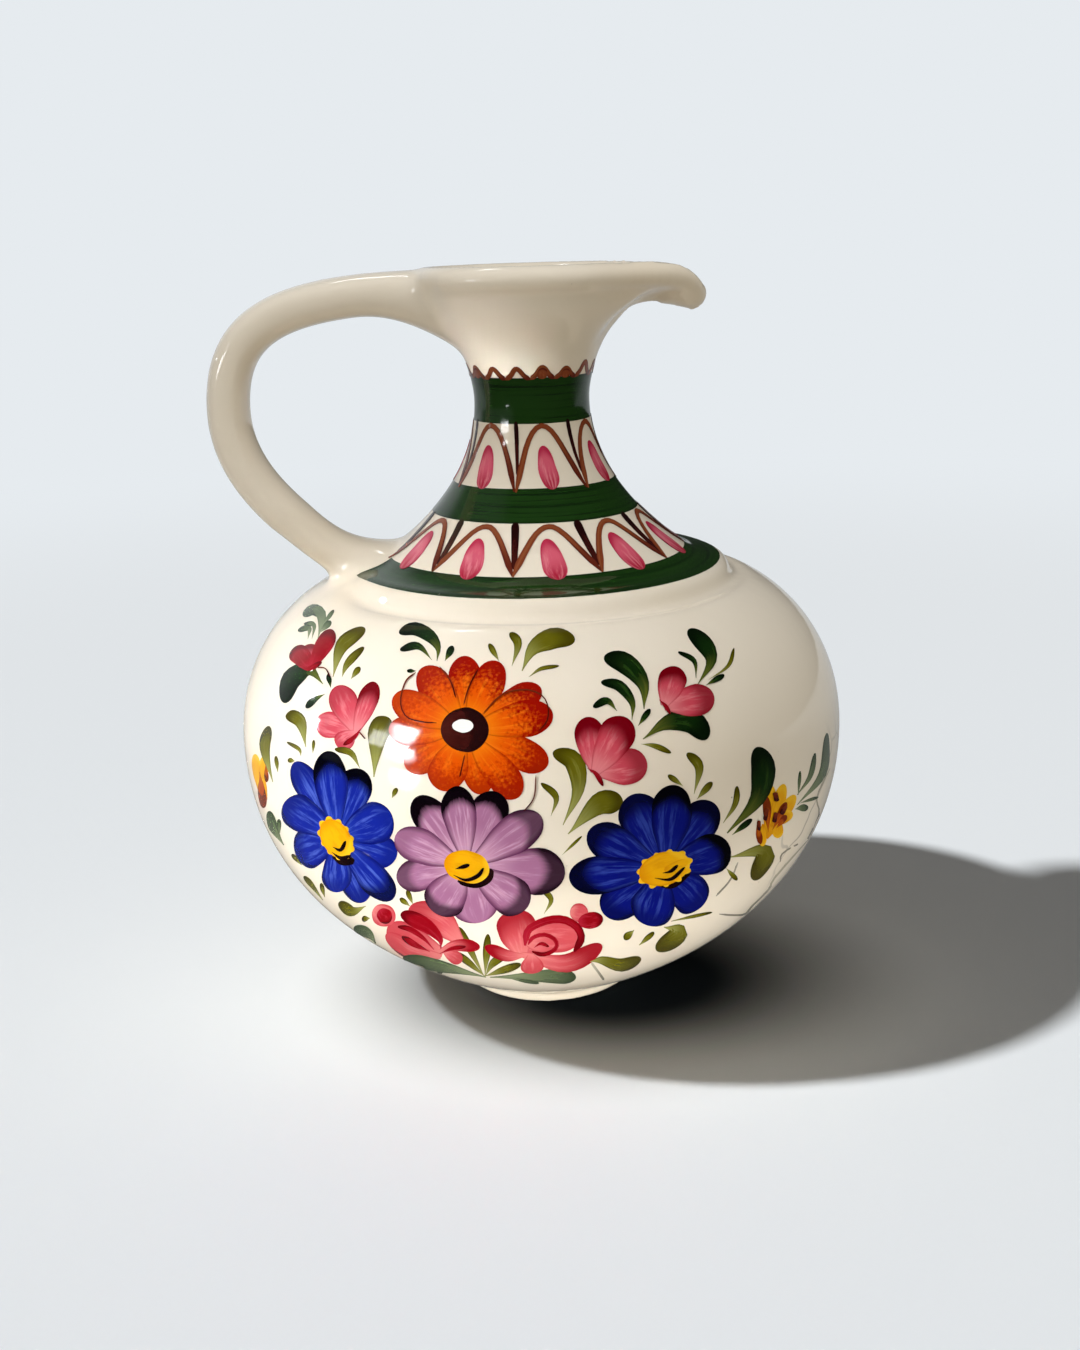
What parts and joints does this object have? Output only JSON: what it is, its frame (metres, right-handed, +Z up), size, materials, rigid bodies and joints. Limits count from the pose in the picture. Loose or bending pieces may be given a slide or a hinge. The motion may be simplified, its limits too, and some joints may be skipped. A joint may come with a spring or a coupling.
{
  "type": "ceramic jug",
  "caption": "Hand-painted ceramic jug with a round belly on a foot ring, a waisted neck, a flared mouth with a drooping beak, and a looped strap handle.",
  "frame": {"origin": "on the table under the centre of the foot ring", "axes": "+Z up, +X along the beak, -X towards the handle, the painted bouquet on the -Y side"},
  "size_m": [0.1727, 0.169, 0.2041],
  "materials": {
    "ivory_glaze": "glossy ivory glaze over folk flowers, green bands and arches",
    "bare_clay": "ivory glaze, wiped to bare clay on the table side"
  },
  "bodies": {
    "root": {"foot_ring": "bare_clay", "lower_bowl": "ivory_glaze", "upper_bowl": "ivory_glaze", "neck_ledge": "ivory_glaze", "neck": "ivory_glaze", "mouth": "ivory_glaze", "handle": "ivory_glaze"}
  },
  "joints": []
}
